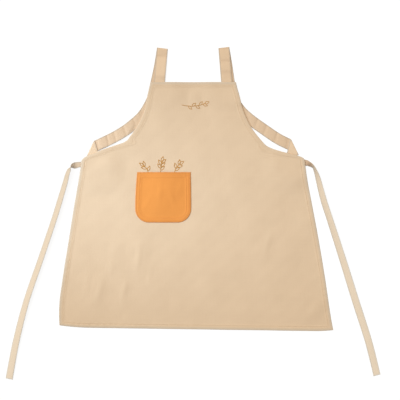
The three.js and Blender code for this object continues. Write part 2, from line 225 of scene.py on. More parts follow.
# Waist ties: centre line x and y, the roll of the strip in degrees, half the arc that it bows across
# its width, positive with the hollow on its first face, and the share of its width that it is drawn
# in to. A tie leaves the corner flat and stands on its edge in the bend. The left one goes on to turn
# over, the right one falls back on the same face, and both lean on their left edges before they lie
# flat.
TIES = dict(
    left=[
        (-0.315, 0.147, 0, 0, 0.72), (-0.338, 0.146, 0, 0, 0.72), (-0.3505, 0.144, 6, 4, 0.84),
        (-0.3585, 0.141, 40, 12, 0.94), (-0.3645, 0.1375, 90, 4, 1), (-0.3705, 0.129, 126, 4, 1),
        (-0.3765, 0.113, 132, 6, 1), (-0.381, 0.095, 138, 6, 1), (-0.398, 0.038, 144, 6, 1),
        (-0.4165, -0.022, 145, 6, 1), (-0.457, -0.142, 147, 6, 1), (-0.498, -0.262, 151, 6, 1),
        (-0.529, -0.382, 162, 4, 1), (-0.551, -0.497, 174, 0, 1),
    ],
    right=[
        (0.314, 0.1575, 0, 0, 0.80), (0.3385, 0.1511, 0, 0, 0.80), (0.3445, 0.149, -40, 0, 0.82),
        (0.3515, 0.1455, -52, 0, 0.84), (0.358, 0.141, -66, 0, 0.84), (0.3635, 0.1345, -72, 0, 0.84),
        (0.372, 0.113, -52, -4, 0.88), (0.377, 0.095, -44, -6, 0.92), (0.392, 0.038, -34, -8, 0.97),
        (0.4115, -0.022, -35, -8, 1), (0.450, -0.142, -24, -8, 1), (0.4875, -0.262, -12, -8, 1),
        (0.526, -0.382, 4, -6, 1), (0.552, -0.486, 6, 0, 1),
    ],
)
# Points of its route between which a tie comes down from behind the panel to the surface.
TIE_DOWN = (1, 2)
# A tie's first stretch has the turned tint up to the first place along its length, and none from
# the second place on; the tint is partly the tie's other face and partly painted shade. The third
# value is how deep it is.
TIE_DEEP = dict(left=(0.046, 0.058, 0.25), right=(0.040, 0.052, 1.0))

# Seam stitches and embroidery stitches: spacing, length, width and height of the thread.
SEAM = dict(pitch=0.0034, length=0.0027, width=0.00060, height=0.00040)
EMBROIDERY = dict(pitch=0.0026, length=0.0034, width=0.0023, height=0.00080)
FINE_EMBROIDERY = dict(pitch=0.0024, length=0.0031, width=0.0018, height=0.00070)
# One stitch: rings with six sides, each with its place along the stitch, its girth and its lift. Two
# quads close a ring, by the numbers of its corners.
STITCH_SIDES = 6
STITCH_RINGS = np.array([(-1.0, 0.45, -0.35), (-0.5, 1.0, 0.25), (0.5, 1.0, 0.25), (1.0, 0.45, -0.35)])
STITCH_CAP = [(0, 1, 2, 3), (0, 3, 4, 5)]

# Sprigs that stand in the pocket, their feet a little under its mouth: foot x, lean to the tip,
# height, and number of leaves. Their stems sag by a share of the lean.
POCKET_SPRIGS = [
    (-0.134, -0.013, 0.034, 4),
    (-0.097, 0.004, 0.047, 6),
    (-0.055, 0.015, 0.039, 5),
]
POCKET_STEM = dict(under=0.004, sag=0.25)
POCKET_LEAF = dict(length=0.0155, half=0.0036, spread=42)
# One sprig lies across the bib: its two ends, the sag of its stem, and its leaves.
BIB_SPRIG = dict(start=(-0.034, 0.325), end=(0.036, 0.329), sag=0.006, leaves=6)
BIB_LEAF = dict(length=0.0135, half=0.0034, spread=40)
# Points of a stem and of a leaf's side, the power that brings a leaf's widest place towards its foot,
# and the shares of the stem where the first and the last side leaf sit.
SPRIG = dict(stem_points=40, leaf_points=24, fullest=0.85, first_leaf=0.30, last_leaf=0.92)

CLOTH_MAP = "cloth"  # UV map that holds metres on the flat cloth
TURN_AND_SHADE = "turn_and_shade"  # attribute for the turned tint, partly painted shade: 1 where it is whole, 0 where there is none
EDGE = "edge"  # attribute that is 1 at the edge of the cloth and 0 away from it
# Painted edge shade, a darker and greyer tint at the edges of the cloth: how far in it is whole and
# where it is gone. The armholes get less of it: where they start and are whole, where they begin to
# end and end, and their share.
PANEL_EDGE_SHADE = (0.0030, 0.0100)
ARMHOLE = dict(start=(0.155, 0.180), end=(0.340, 0.380), share=0.3)
POCKET_EDGE_SHADE = (0.0020, 0.0060)
STRIP_EDGE_SHADE = (0.0015, 0.0040)

# Cloths as linear light: the dark and the light shade, the turned tint and the painted edge shade.
# The turned tint deepens hems and a strap's back run; at a strap's front creases it is painted crease
# shade, and on a tie's first stretch it is partly the tie's other face and partly painted shade.
COTTONS = dict(
    natural_cotton=dict(
        dark=(0.690, 0.512, 0.338), light=(0.815, 0.618, 0.422),
        turn_and_shade=(0.993, 0.982, 0.968), edge_shade=(0.905, 0.975, 1.070)),
    strap_cotton=dict(
        dark=(0.747, 0.547, 0.359), light=(0.878, 0.659, 0.447),
        turn_and_shade=(0.915, 0.900, 0.896), edge_shade=(0.820, 0.885, 0.985)),
    pale_cotton_tape=dict(
        dark=(0.870, 0.742, 0.585), light=(0.960, 0.828, 0.666),
        turn_and_shade=(0.790, 0.675, 0.585), edge_shade=(0.905, 0.975, 1.070)),
    orange_cotton=dict(
        dark=(0.738, 0.274, 0.0535), light=(0.875, 0.342, 0.074),
        turn_and_shade=(0.993, 0.982, 0.968), edge_shade=(0.890, 0.880, 0.950)),
)
# Threads as linear light: the painted shade in the grooves between the plies and the tone on them.
THREADS = dict(
    cotton_seam_thread=dict(dark=(0.580, 0.425, 0.270), light=(0.680, 0.505, 0.335)),
    orange_seam_thread=dict(dark=(0.590, 0.195, 0.040), light=(0.700, 0.252, 0.055)),
    amber_embroidery_thread=dict(dark=(0.500, 0.235, 0.050), light=(0.610, 0.312, 0.071)),
)
# The weave: threads in a metre; slubs, which are uneven threads, and soft patches in a metre, with
# the detail of their noise; their shares in the shade, the slubs' height beside a thread's, the bump
# and its depth, the sheen, and the lowest and highest roughness.
WEAVE = dict(
    threads=1100, slub_across=620, slub_along=14, slub_detail=2, patches=(11, 9, 1), patch_detail=3,
    slub_shade=0.3, patch_shade=0.4, slub_height=2, bump=0.35, depth=0.00012,
    sheen=0.12, smoothest=0.84, roughest=0.98,
)
# The twist of a thread: ridges in a metre across it and along it.
TWIST = dict(across=900, along=1400, bump=0.4, depth=0.00010, sheen=0.2, roughness=0.7)
# The paper's cloudy tone: clouds in a metre, and the shares of the tone between which they vary.
PAPER = dict(clouds=2, darkest=0.95, lightest=1.05, roughness=0.95)
GLOSS = 0.25
SHEEN_ROUGHNESS = 0.6

# Light: a cool soft key with a narrow spread from the left, a broad high light from the upper left,
# and a warm even surround.
LAMPS = dict(
    key=dict(
        kind="AREA", place=(-1.39, 0.157, 0.90), aim=(-0.132, 0.061, 0),
        settings=dict(shape="SQUARE", size=0.40, spread=0.68, energy=0.95, color=(0.60, 0.78, 1.0))),
    high=dict(
        kind="SUN", place=(-0.7, 1.0, 1.2), aim=(0, 0, 0),
        settings=dict(angle=0.9, energy=1.8, color=(1.0, 0.96, 0.90))),
)
SURROUND = dict(Color=(1.0, 0.945, 0.875, 1), Strength=0.47)

# The floor lies just under the cloth and glows a little, as a light table does, over dark ground.
FLOOR = dict(height=-0.0002, tone=0.20, glow=0.88)
GROUND = dict(height=-0.0010, tone=0.06, glow=0)
LEVEL_HALF = 4.0  # half the side of the floor and the ground

# Camera straight above the middle of the picture, which shows a square of this side.
PICTURE_MIDDLE = (0.0213, 0.0396)
PICTURE_SIDE = 1.200
LENS = 100
SENSOR = 36


# Array helpers

def ease(value, start, end):
    """Smooth step: 0 up to start, 1 from end on, and the cubic 3t^2 - 2t^3 between them."""
    t = np.clip((value - start) / (end - start), 0, 1)
    return t * t * (3 - 2 * t)


def unit(vectors):
    """Vectors divided by their lengths."""
    return vectors / np.linalg.norm(vectors, axis=-1, keepdims=True)


def upright(count):
    """As many unit vectors that point straight up."""
    return np.broadcast_to([0.0, 0.0, 1.0], (count, 3))


def spline(points, at):
    """Catmull-Rom curve: between points i and i+1 the cubic whose end slopes are half of the
    differences of the neighbours, with the end points repeated."""
    points = np.asarray(points, float)
    i = np.clip(np.floor(at).astype(int), 0, len(points) - 2)
    f = (at - i)[..., None]
    before, start, end, after = (points[np.clip(i + k, 0, len(points) - 1)] for k in (-1, 0, 1, 2))
    leave, arrive = (end - before) / 2, (after - start) / 2
    cubic = 2 * (start - end) + leave + arrive
    square = 3 * (end - start) - 2 * leave - arrive
    return ((cubic * f + square) * f + leave) * f + start


def smooth_through(knots, values, at):
    """Cubic through values at rising knots, each slope the mean of the two secants beside it,
    weighted by the length of the other one's span."""
    span = np.diff(knots)
    secant = np.diff(values) / span
    inner = (secant[:-1] * span[1:] + secant[1:] * span[:-1]) / (span[:-1] + span[1:])
    slope = np.concatenate([secant[:1], inner, secant[-1:]])
    i = np.clip(np.searchsorted(knots, at, side="right") - 1, 0, len(span) - 1)
    f = (at - knots[i]) / span[i]
    leave, arrive = slope[i] * span[i], slope[i + 1] * span[i]
    step = values[i + 1] - values[i]
    square = 3 * step - 2 * leave - arrive
    cubic = leave + arrive - 2 * step
    return values[i] + f * (leave + f * (square + f * cubic))


def bell(value, middle, half):
    """Gaussian bump of height 1."""
    return np.exp(-np.square((value - middle) / half))


def rounded(inset, radius):
    """Share of the full half thickness near a folded edge: a quarter circle of the given radius."""
    return np.sqrt(1 - np.square(1 - np.clip(inset / radius, 0, 1)))


def waves(x, y, table, seed):
    """Sum of sine waves of the table's lengths and heights, with seeded headings and phases."""
    draw = np.random.default_rng(seed)
    total = np.zeros(np.broadcast(x, y).shape)
    for length, height in table:
        heading, phase = draw.uniform(0, math.pi), draw.uniform(0, 2 * math.pi)
        along = x * math.cos(heading) + y * math.sin(heading)
        total += height * np.sin(2 * math.pi * along / length + phase)
    return total


def folded(x, y, folds):
    """Height of soft folds, each the square of the product of two parabolas, along its heading and
    across it."""
    total = np.zeros(x.shape)
    for cx, cy, heading, length, width, height in folds:
        c, s = math.cos(math.radians(heading)), math.sin(math.radians(heading))
        along = ((x - cx) * c + (y - cy) * s) / length
        aside = ((y - cy) * c - (x - cx) * s) / width
        total += height * np.square(np.maximum(0, 1 - along ** 2) * np.maximum(0, 1 - aside ** 2))
    return total


def along_line(points):
    """Distance along a line of points, from its first point."""
    return np.concatenate([[0], np.cumsum(np.linalg.norm(np.diff(points, axis=0), axis=1))])


def at_distances(distances, line_distances, columns):
    """Each column of a line's values, read between its points at the given distances."""
    return np.stack([np.interp(distances, line_distances, column) for column in columns.T], axis=-1)


def graded_rows(steps, start, end, step):
    """Rows from a start to an end: the given steps in from both and even ones between them."""
    margin = steps[-1] + step
    even = np.linspace(start + margin, end - margin, int((end - start) / step))
    return np.concatenate([start + steps, even, end - steps[::-1]])[:, None]


def graded_columns(steps, left, right, left_stretch, right_stretch, count):
    """Places across each row: the given steps in from either edge, as much longer as the stretch
    says, and even shares of the space between them."""
    inner_left = left + steps[-1] * left_stretch
    inner_right = right - steps[-1] * right_stretch
    shares = np.linspace(0, 1, count + 2)[None, 1:-1]
    return np.concatenate([
        left + steps * left_stretch,
        inner_left + (inner_right - inner_left) * shares,
        right - steps[::-1] * right_stretch,
    ], axis=1)


# Meshes

def grid_quads(ids):
    """Quads between neighbours of a grid of vertex numbers, facing columns x rows."""
    return np.stack([ids[:-1, :-1], ids[:-1, 1:], ids[1:, 1:], ids[1:, :-1]], axis=-1).reshape(-1, 4)


def quad_object(name, points, quads, flat, material):
    """A smooth-shaded object of quads at the origin, with its flat-cloth map and material."""
    mesh = bpy.data.meshes.new(name)
    mesh.vertices.add(len(points))
    mesh.vertices.foreach_set("co", points.astype(np.float32).ravel())
    mesh.loops.add(quads.size)
    mesh.loops.foreach_set("vertex_index", quads.astype(np.int32).ravel())
    mesh.polygons.add(len(quads))
    mesh.polygons.foreach_set("loop_start", np.arange(0, quads.size, 4, dtype=np.int32))
    mesh.polygons.foreach_set("use_smooth", np.ones(len(quads), dtype=bool))
    layer = mesh.uv_layers.new(name=CLOTH_MAP)
    layer.uv.foreach_set("vector", flat[quads.ravel()].astype(np.float32).ravel())
    mesh.update(calc_edges=True)
    mesh.materials.append(material)
    made = bpy.data.objects.new(name, mesh)
    bpy.context.scene.collection.objects.link(made)
    return made


def cloth_wall(name, upper, lower, flat, shares, material):
    """A closed wall between two grids of points: the upper face, the lower face turned over, and
    the upper face's border shared by both, so that the edge is one folded line. Each point keeps
    its shares of what varies over the cloth."""
    rows, columns = upper.shape[:2]
    upper_ids = np.arange(rows * columns).reshape(rows, columns)
    lower_ids = upper_ids.copy()
    inside = (rows - 2) * (columns - 2)
    lower_ids[1:-1, 1:-1] = rows * columns + np.arange(inside).reshape(rows - 2, columns - 2)
    points = np.concatenate([upper.reshape(-1, 3), lower[1:-1, 1:-1].reshape(-1, 3)])
    flats = np.concatenate([flat.reshape(-1, 2), flat[1:-1, 1:-1].reshape(-1, 2)])
    quads = np.concatenate([grid_quads(upper_ids), grid_quads(lower_ids)[:, ::-1]])
    made = quad_object(name, points, quads, flats, material)
    for attribute, share in shares.items():
        both = np.concatenate([share.ravel(), share[1:-1, 1:-1].ravel()])
        layer = made.data.attributes.new(attribute, "FLOAT", "POINT")
        layer.data.foreach_set("value", both.astype(np.float32))
    return made


def surface_normals(middle):
    """Unit normals of a grid of points: columns direction x rows direction."""
    return unit(np.cross(np.gradient(middle, axis=1), np.gradient(middle, axis=0)))


# Panel

def panel_edge(side, y):
    """Edge of the panel at a height: x through the outline's column, and how much longer than a
    hem width the hem is along the row, which grows with the edge's slant."""
    knots, column = PANEL_OUTLINE[:, 0], PANEL_OUTLINE[:, 1 if side < 0 else 2]
    probe = 0.0005
    above, below = (smooth_through(knots, column, y + way * probe) for way in (1, -1))
    slant = (above - below) / (2 * probe)
    return smooth_through(knots, column, y), np.minimum(STEEPEST, np.sqrt(1 + np.square(slant)))


def bottom_rise(x, y):
    """How far the bottom edge lies off its level: a slope in x plus the squares of the shares of the
    way into the corners, fading out linearly above the hem."""
    rise = BOTTOM_EDGE["slope"] * x
    for start, end, height in BOTTOM_EDGE["corners"]:
        rise = rise + height * np.square(np.clip((x - start) / (end - start), 0, 1))
    return rise * np.clip(1 - (y - PANEL_FOOT) / BOTTOM_EDGE["fade"], 0, 1)


def layers_behind():
    """Strips behind the panel: both ends of each segment in plan, half width and height needed."""
    over_low = LOW + STRAP["thick"] / 2 + GAP
    over_high = HIGH + STRAP["thick"] / 2 + GAP
    layers = []
    for strap in STRAPS.values():
        half = STRAP["width"] / 2
        layers += [(a, b, half, over_low) for a, b in zip(strap["back"], strap["back"][1:])]
        layers.append((*strap["front"], half, over_high))
        layers.append((strap["back"][-1], strap["tail"], half, over_high))
    layers += [(tie[0][:2], tie[1][:2], TIE["width"] / 2, over_high) for tie in TIES.values()]
    return layers


LAYERS = layers_behind()


def panel_back(x, y):
    """Height of the panel's back: the highest of its drapes over the strips behind it, each level
    over the strip and eased down past it, plus its folds, plus low waves of slack."""
    drape = np.zeros(x.shape)
    for a, b, half, height in LAYERS:
        run = np.subtract(b, a)
        share = np.clip(((x - a[0]) * run[0] + (y - a[1]) * run[1]) / run.dot(run), 0, 1)
        past = np.hypot(x - a[0] - share * run[0], y - a[1] - share * run[1]) - half - DRAPE["level"]
        drape = np.maximum(drape, height * (1 - ease(past, 0, DRAPE["slope"])))
    slack = sum(height for _, height in SLACK_WAVES) / 2 + waves(x, y, SLACK_WAVES, SLACK_SEED)
    return drape + folded(x, y, FOLDS) + np.maximum(0, slack)


def panel_front(x, y):
    """Height of the panel's front away from its hems."""
    return panel_back(x, y) + HEM["lift"] + CLOTH


def hem_puckers(y, left_inset, right_inset):
    """Puckers of the side hems: sine waves along the edges under bells along and across them."""
    total = np.zeros(y.shape)
    for side, middle, half, height in SIDE_PUCKERS:
        inset = left_inset if side < 0 else right_inset
        ripple = np.sin(2 * math.pi * (y - middle) / PUCKER["pitch"])
        total += height / 2 * (1 + ripple) * bell(y, middle, half) * bell(inset, 0, PUCKER["reach"])
    return total


def hem_dimples(x, foot_inset):
    """Depth of the bottom hem's dimples: a sine wave along the stitching, whose phase swings as a
    slower sine, under bells along and across it."""
    swing = DIMPLE["swing"] * np.sin(2 * math.pi * x / DIMPLE["uneven"])
    ripple = np.sin(2 * math.pi * x / DIMPLE["pitch"] + swing)
    depth = sum(deepest * bell(x, middle, half) for middle, half, deepest in HEM_DIMPLES)
    return depth / 2 * (1 + ripple) * bell(foot_inset, HEM["line"], DIMPLE["reach"])


def panel_wall(x, y):
    """Lower and upper points of the panel's wall at places on the flat cloth: its back, the single
    cloth lifted by the hem's turned layers, the hem's thickness run out past its width, a groove and
    dimples along the stitching, and folded edges rolled down to half an ellipse. Also gives the
    shares of the turned tint and of the painted edge shade."""
    left, left_stretch = panel_edge(-1, y)
    right, right_stretch = panel_edge(1, y)
    left_inset, right_inset = (x - left) / left_stretch, (right - x) / right_stretch
    foot_inset = y - PANEL_FOOT
    side = np.minimum(left_inset, right_inset)
    end = np.minimum(foot_inset, PANEL_TOP - y)
    inset = np.minimum(side, end)
    laid = y + bottom_rise(x, y)

    single = ease(inset, HEM["width"], HEM["width"] + HEM["run_out"])
    lower = panel_back(x, laid) + hem_puckers(laid, left_inset, right_inset) + HEM["lift"] * single
    tack = 1 + TACK["deeper"] * bell(laid, TACK["y"], TACK["half"])
    crossing = HEM["line"] * GROOVE["crossing"]
    groove = GROOVE["depth"] * np.maximum(
        tack * bell(side, HEM["line"], GROOVE["half"]) * (end > crossing),
        bell(end, HEM["line"], GROOVE["half"]) * (side > crossing))
    thick = HEM["thick"] + (CLOTH - HEM["thick"]) * single - groove - hem_dimples(x, foot_inset)
    half = thick / 2 * rounded(inset, HEM["roll"])
    middle = lower + thick / 2

    # Painted edge shade: a darker, greyer tint along the edges, with less of it at the armholes.
    armhole = ease(laid, *ARMHOLE["start"]) * (1 - ease(laid, *ARMHOLE["end"]))
    edge_shade = (1 - ease(inset, *PANEL_EDGE_SHADE)) * (1 - (1 - ARMHOLE["share"]) * armhole)
    lower_points, upper_points = (np.stack([x, laid, z], -1) for z in (middle - half, middle + half))
    return lower_points, upper_points, {TURN_AND_SHADE: 1 - single, EDGE: edge_shade}


def make_panel(material):
    """Panel: the wall over rows from its foot to its top, closer together near its edges."""
    y = graded_rows(HEM_STEPS, PANEL_FOOT, PANEL_TOP, PANEL_STEP)
    left, left_stretch = panel_edge(-1, y)
    right, right_stretch = panel_edge(1, y)
    x = graded_columns(HEM_STEPS, left, right, left_stretch, right_stretch, PANEL_COLUMNS)
    y = np.broadcast_to(y, x.shape)
    lower, upper, shares = panel_wall(x, y)
    return cloth_wall("apron_panel", upper, lower, np.stack([x, y], -1), shares, material)


def panel_seams():
    """Stitching lines of the hems, as lines of points on the front and on the back with their
    normals: both sides, the foot and the top, each at the line's inset from its edge."""
    line = HEM["line"]
    y = np.linspace(PANEL_FOOT + line, PANEL_TOP - line, PANEL_SEAM_POINTS["side"])
    routes = []
    for side in (-1, 1):
        edge, stretch = panel_edge(side, y)
        routes.append((edge - side * line * stretch, y))
    for level in (PANEL_FOOT + line, PANEL_TOP - line):
        ends = [panel_edge(side, np.array([level]))[0][0] - side * line for side in (-1, 1)]
        x = np.linspace(*ends, PANEL_SEAM_POINTS["end"])
        routes.append((x, np.full(x.shape, level)))
    lines = []
    for x, y in routes:
        lower, upper, _ = panel_wall(x, y)
        lines += [(upper, upright(len(x))), (lower, -upright(len(x)))]
    return lines


# Pocket

def pocket_taper(up):
    """Square of the share of the way from the top of the pocket's round corners to its mouth."""
    radius = POCKET["radius"]
    return np.square(np.clip((up - radius) / (POCKET["height"] - radius), 0, 1))


def pocket_half(up):
    """Half width of the pocket at a height over its foot: sides that taper to the mouth over a foot
    with round corners, and how much longer a step from the edge is along the row."""
    radius = POCKET["radius"]
    below = np.clip(radius - up, 0, radius)
    reach = np.sqrt(np.square(radius) - np.square(below))
    width = POCKET["width"] + (POCKET["mouth_width"] - POCKET["width"]) * pocket_taper(up)
    return width / 2 - radius + reach, np.minimum(STEEPEST, radius / np.maximum(reach, radius / STEEPEST))


def pocket_inset(x, up):
    """Distance from the sewn edge: to the side, the foot or the round corner between them."""
    radius = POCKET["radius"]
    half = pocket_half(np.maximum(up, radius))[0]
    side, foot = np.abs(x) - (half - radius), radius - up
    beyond = np.hypot(np.maximum(side, 0), np.maximum(foot, 0))
    return radius - beyond - np.minimum(np.maximum(side, foot), 0)


def pocket_wall(x, up):
    """Lower and upper points of the pocket's wall beside its leaning middle, at heights over its
    foot: on the panel's front, plus a bulge that grows from the foot to the mouth and is a squared
    cosine across between flat edges, plus creases, with a turned edge, a turned mouth, grooves along
    the stitching lines, and edges rolled down to a quarter circle. Also gives the shares of the
    turned tint and of the painted edge shade."""
    laid_x = x + POCKET["x"] + POCKET["lean"] * pocket_taper(up)
    laid_y = up + POCKET["mouth"] - POCKET["height"]
    half = pocket_half(np.maximum(up, POCKET["radius"]))[0]
    inset = np.maximum(pocket_inset(x, up), 0)
    mouth = POCKET["height"] - up
    around = np.minimum(inset, mouth)

    fullness = ease(up / POCKET["height"], 0, POCKET["full_at"])
    open_share = np.square(np.cos(math.pi / 2 * np.clip(x / (half - POCKET["flat_edge"]), -1, 1)))
    base = panel_front(laid_x, laid_y) + GAP + folded(laid_x, laid_y, POCKET_FOLDS)
    lower = base + POCKET["bulge"] * fullness * open_share
    single = np.minimum(ease(inset, POCKET["edge"], POCKET["edge"] + POCKET["run_out"]),
                        ease(mouth, POCKET["mouth_hem"], POCKET["mouth_hem"] + POCKET["run_out"]))
    groove = bell(mouth, POCKET["mouth_line"], GROOVE["half"])
    for line in POCKET["lines"]:
        groove = np.maximum(groove, bell(inset, line, GROOVE["half"]))
    thick = POCKET["edge_thick"] + (CLOTH - POCKET["edge_thick"]) * single - GROOVE["depth"] * groove
    ball = thick / 2 * rounded(around, POCKET["roll"])
    middle = lower + thick / 2 - (thick / 2 - ball) * ease(mouth, 0, POCKET["pressed_from"])

    lower_points, upper_points = (np.stack([laid_x, laid_y, z], -1) for z in (middle - ball, middle + ball))
    # The edge share carries painted edge shade.
    return lower_points, upper_points, {TURN_AND_SHADE: 1 - single, EDGE: 1 - ease(around, *POCKET_EDGE_SHADE)}


def make_pocket(material):
    """Pocket: the wall over rows from its foot to the mouth, closer together near its edges."""
    up = graded_rows(POCKET_STEPS, 0, POCKET["height"], POCKET_STEP)
    half, stretch = pocket_half(up)
    stretch = np.minimum(stretch, POCKET_EDGE_SHARE * half / POCKET_STEPS[-1])
    x = graded_columns(POCKET_STEPS, -half, half, stretch, stretch, POCKET_COLUMNS)
    up = np.broadcast_to(up, x.shape)
    lower, upper, shares = pocket_wall(x, up)
    return cloth_wall("patch_pocket", upper, lower, np.stack([x, up], -1), shares, material)


def pocket_seams():
    """Stitching lines of the pocket: each U at its inset from the sewn edge, made of two straight
    sides, two quarter circles and the foot, and one line under the mouth."""
    radius, top = POCKET["radius"], POCKET["height"] - POCKET["mouth_line"]
    turn = np.linspace(0, math.pi / 2, POCKET_SEAM_POINTS["corner"])
    side_up = np.linspace(top, radius, POCKET_SEAM_POINTS["side"])
    corner_x = POCKET["width"] / 2 - radius
    routes = []
    for inset in POCKET["lines"]:
        side_x = pocket_half(side_up)[0] - inset
        half_x = np.concatenate([side_x, corner_x + (radius - inset) * np.cos(turn), [0]])
        half_up = np.concatenate([side_up, radius - (radius - inset) * np.sin(turn), [inset]])
        routes.append((np.concatenate([-half_x, half_x[-2::-1]]),
                       np.concatenate([half_up, half_up[-2::-1]])))
    reach = pocket_half(np.array([top]))[0][0] - POCKET["lines"][0]
    x = np.linspace(-reach, reach, POCKET_SEAM_POINTS["mouth"])
    routes.append((x, np.full(x.shape, top)))
    return [(pocket_wall(x, up)[1], upright(len(x))) for x, up in routes]


# Strips

def strip_places(width):
    """Places across a strip: steps in from either edge and the even spaces between them."""
    middle = width / 2 - STRIP_STEPS[-1]
    even = np.linspace(-middle, middle, int(2 * middle / STRIP_STEP))[1:-1]
    return np.concatenate([STRIP_STEPS - width / 2, even, width / 2 - STRIP_STEPS[::-1]])


def make_strip(name, middle, distances, across, size, turn_and_shade, material):
    """A strip of folded cloth: half its thickness on either side of the surface along its normals,
    rounded at all four edges, with a groove along each stitching line. Each row has its share of the
    turned tint, which is partly painted shade, and the edges have painted edge shade."""
    side = size["width"] / 2 - np.abs(across)
    end = np.minimum(distances - distances[0], distances[-1] - distances)[:, None]
    inset = np.minimum(side, end)
    half = size["thick"] / 2 - GROOVE["depth"] / 2 * bell(side, size["line"], GROOVE["strip_half"])
    offset = surface_normals(middle) * (half * rounded(inset, size["thick"] / 2))[..., None]
    flat = np.stack(np.broadcast_arrays(across[None], distances[:, None]), -1)
    # Rows take the turned tint by their share, and the edges take painted edge shade.
    shares = {TURN_AND_SHADE: np.broadcast_to(turn_and_shade[:, None], inset.shape), EDGE: 1 - ease(inset, *STRIP_EDGE_SHADE)}
    return cloth_wall(name, middle + offset, middle - offset, flat, shares, material)


def strip_seams(middle, across, size):
    """Stitching lines of a strip on both of its faces, next to its sewn edges."""
    normals = surface_normals(middle)
    rise = size["thick"] / 2 - GROOVE["depth"] / 2
    lines = []
    for edge in size["sewn"]:
        column = np.argmin(np.abs(across - edge * (size["width"] / 2 - size["line"])))
        for face in (1, -1):
            up = face * normals[:, column]
            lines.append((middle[:, column] + rise * up, up))
    return lines


def plan_run(points):
    """A strap run in plan: a dense smooth line through its points, with straight leads that let it
    be read past either end, as distances, places and headings."""
    points = np.asarray(points, float)
    dense = spline(points, np.linspace(0, len(points) - 1, RUN["points"]))
    distances = along_line(dense)
    headings = unit(np.gradient(dense, distances, axis=0))
    lead = RUN["lead"]
    places = np.concatenate([dense[:1] - lead * headings[:1], dense, dense[-1:] + lead * headings[-1:]])
    distances = np.concatenate([[-lead], distances, [distances[-1] + lead]])
    headings = np.concatenate([headings[:1], headings, headings[-1:]])
    return dict(length=distances[-2], distances=distances, places=places, headings=headings)


def on_run(run, along, across, turned_over):
    """Points in plan beside a run: its place plus its right-hand direction times across, which
    mirrors where the strip is turned over."""
    place = at_distances(along, run["distances"], run["places"])
    heading = unit(at_distances(along, run["distances"], run["headings"]))
    right = np.stack([heading[..., 1], -heading[..., 0]], -1) * (-1 if turned_over else 1)
    return place + right * across[..., None]


def crease_between(first, second, turned_over):
    """A crease where one run ends and the next begins: the line that mirrors one heading into the
    other, its normal, the lean of a row that lies along it, and the length of strip that rolls round
    it."""
    before, after = first["headings"][-1], second["headings"][0]
    line = unit(before + after)
    normal = np.array([line[1], -line[0]])
    normal *= np.sign(normal.dot(before))
    right = np.array([before[1], -before[0]]) * (-1 if turned_over else 1)
    advance = normal.dot(before)
    return dict(point=second["places"][1], normal=normal, shear=-normal.dot(right) / advance,
                wrap=math.pi * STRAP["fold_radius"] / advance)


def strap_layout(strap):
    """A strap's three runs, the two creases between them, and where each begins along the strip."""
    tail = [strap["back"][-1], strap["tail"]]
    runs = [plan_run(points) for points in (strap["front"], strap["back"], tail)]
    shoulder = crease_between(runs[0], runs[1], turned_over=False)
    waist = crease_between(runs[1], runs[2], turned_over=True)
    back_start = runs[0]["length"] + shoulder["wrap"]
    back_end = back_start + runs[1]["length"]
    tail_start = back_end + waist["wrap"]
    return dict(runs=runs, creases=[shoulder, waist], crease_at=[runs[0]["length"], back_end],
                starts=[0, back_start, tail_start], end=tail_start + runs[2]["length"])


def puffs(along, creases, share):
    """Cloth that puffs up between creases, as high as a share of the space between them: one less
    the square of one less half a sine, which is steep at the creases and nearly level between."""
    index = np.interp(along, creases, np.arange(len(creases)))
    space = np.diff(creases)[np.minimum(index.astype(int), len(creases) - 2)]
    return share * space * (1 - np.square(1 - np.abs(np.sin(math.pi * index))))


def strap_rise(strap, layout, plan, along, across):
    """Puffs of a strap, with creases that lean across it. On the front run they grow towards the
    inner edge; on the back run, which is turned over, they grow towards the outward edge and are
    gone where the panel covers the strap."""
    outward = strap["outward"]
    leaning = along + outward * PUFF["lean"] * across
    one_side = 0.5 + outward * across / STRAP["width"]
    front_share = PUFF["front_inner"] + (PUFF["front_outer"] - PUFF["front_inner"]) * one_side
    open_share = PUFF["inner"] + (1 - PUFF["inner"]) * one_side
    beside = outward * (plan[..., 0] - panel_edge(outward, plan[..., 1])[0])
    uncovered = np.maximum(beside, plan[..., 1] - PANEL_TOP)
    open_share = open_share * ease(uncovered, PUFF["covered"], PUFF["clear"])
    back = puffs(leaning - layout["starts"][1], strap["gathers"], strap["fullness"]) * open_share
    return back + puffs(leaning, strap["creases"], PUFF["front"]) * front_share


def strap_surface(strap, layout, rows, across):
    """Middle of a shoulder strap: rows lean into the creases so that each crease is a row, the
    strip rolls round a crease by half a circle, and goes on along the next run one layer away."""
    rows, across = np.broadcast_arrays(rows[:, None], across[None])
    lean = np.zeros(rows.shape)
    for at, crease in zip(layout["crease_at"], layout["creases"]):
        past = np.maximum(0, np.abs(rows - at - crease["wrap"] / 2) - crease["wrap"])
        lean = lean + crease["shear"] * np.clip(1 - past / STRAP["shear_run"], 0, 1)
    along = rows + across * lean
    plans = [on_run(run, along - start, across, turned_over)
             for run, start, turned_over in zip(layout["runs"], layout["starts"], (False, True, False))]
    heights = [HIGH, LOW, HIGH]
    halves = []
    for turn, crease in enumerate(layout["creases"]):
        past = (plans[turn] - crease["point"]) @ crease["normal"]
        rolled = np.clip(past / STRAP["fold_radius"], 0, math.pi)
        overhang = np.where(rolled > 0, STRAP["fold_radius"] * np.sin(rolled) - past, 0)
        rolling = plans[turn] + overhang[..., None] * crease["normal"]
        place = np.where((rolled >= math.pi)[..., None], plans[turn + 1], rolling)
        height = heights[turn] + (heights[turn + 1] - heights[turn]) * (1 - np.cos(rolled)) / 2
        halves.append(np.concatenate([place, height[..., None]], -1))
    middle_of_back = layout["starts"][1] + layout["runs"][1]["length"] / 2
    surface = np.where((rows < middle_of_back)[..., None], *halves)
    surface[..., 2] += strap_rise(strap, layout, surface[..., :2], along, across)
    return surface


